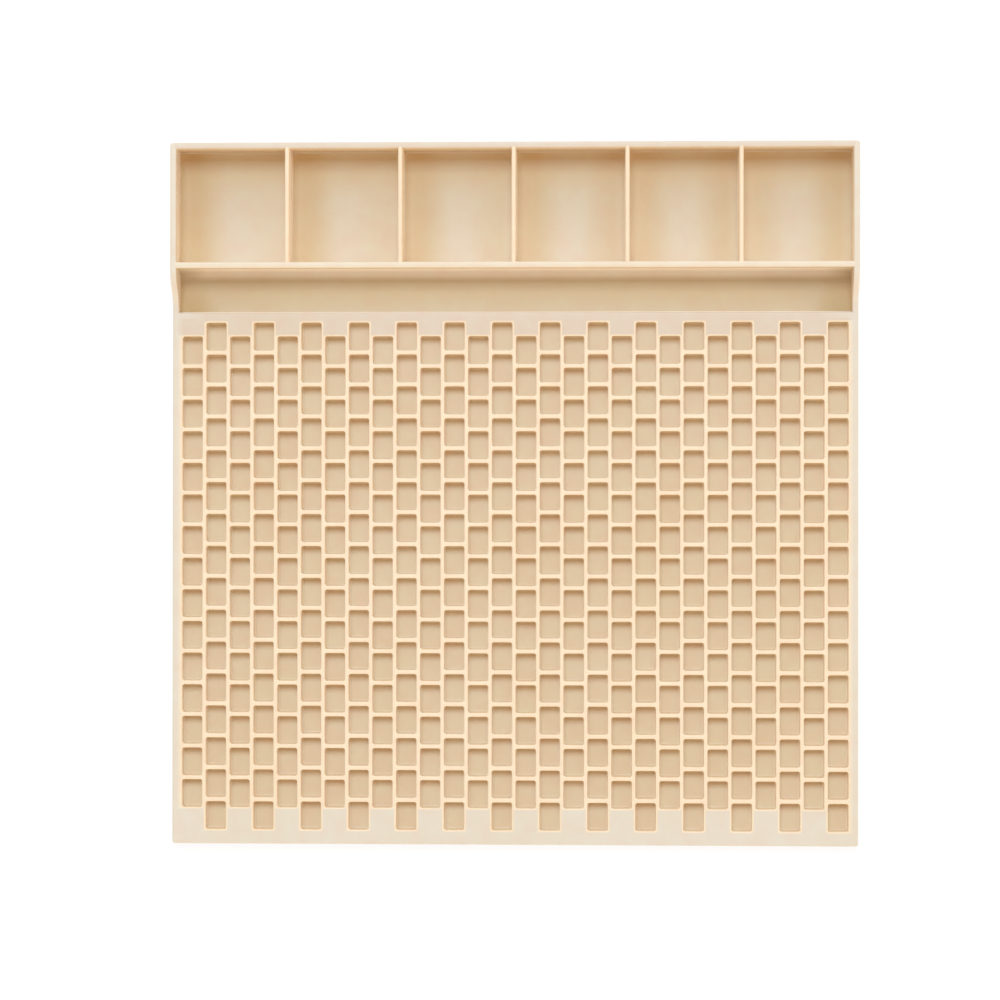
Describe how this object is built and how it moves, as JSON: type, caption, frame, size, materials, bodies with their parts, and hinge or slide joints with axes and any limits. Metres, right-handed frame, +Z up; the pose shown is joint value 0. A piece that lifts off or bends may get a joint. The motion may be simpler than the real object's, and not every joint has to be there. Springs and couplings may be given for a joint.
{
  "type": "bead stringing tray",
  "caption": "Flat cream plastic tray with a row of open bead bins, a gutter with S-curved ends and a board of brick-set bead pockets, for sorting and stringing beads.",
  "frame": {"origin": "middle of the underside, on the surface that the tray stands on", "axes": "+X to the right along the row of bins, +Y from the front edge to the bins at the back, +Z up"},
  "size_m": [0.2292, 0.2342, 0.0131],
  "materials": {
    "tray_plastic": "satin, plain cream, soft edges"
  },
  "bodies": {
    "root": {"base_panel": "tray_plastic", "back_wall": "tray_plastic", "left_side_wall": "tray_plastic", "right_side_wall": "tray_plastic", "bin_front_wall": "tray_plastic", "divider_1": "tray_plastic", "divider_2": "tray_plastic", "divider_3": "tray_plastic", "divider_4": "tray_plastic", "divider_5": "tray_plastic", "gutter_rail": "tray_plastic", "front_rail": "tray_plastic", "pocket_edge_strip": "tray_plastic", "pocket_strip_01": "tray_plastic", "pocket_strip_02": "tray_plastic", "pocket_strip_03": "tray_plastic", "pocket_strip_04": "tray_plastic", "pocket_strip_05": "tray_plastic", "pocket_strip_06": "tray_plastic", "pocket_strip_07": "tray_plastic", "pocket_strip_08": "tray_plastic", "pocket_strip_09": "tray_plastic", "pocket_strip_10": "tray_plastic", "pocket_strip_11": "tray_plastic", "pocket_strip_12": "tray_plastic", "pocket_strip_13": "tray_plastic", "pocket_strip_14": "tray_plastic", "pocket_strip_15": "tray_plastic", "pocket_strip_16": "tray_plastic", "pocket_strip_17": "tray_plastic", "pocket_strip_18": "tray_plastic", "pocket_strip_19": "tray_plastic", "pocket_strip_20": "tray_plastic", "pocket_strip_21": "tray_plastic", "pocket_strip_22": "tray_plastic", "pocket_strip_23": "tray_plastic", "pocket_strip_24": "tray_plastic", "pocket_strip_25": "tray_plastic", "pocket_strip_26": "tray_plastic", "pocket_strip_27": "tray_plastic", "pocket_strip_28": "tray_plastic"}
  },
  "joints": []
}
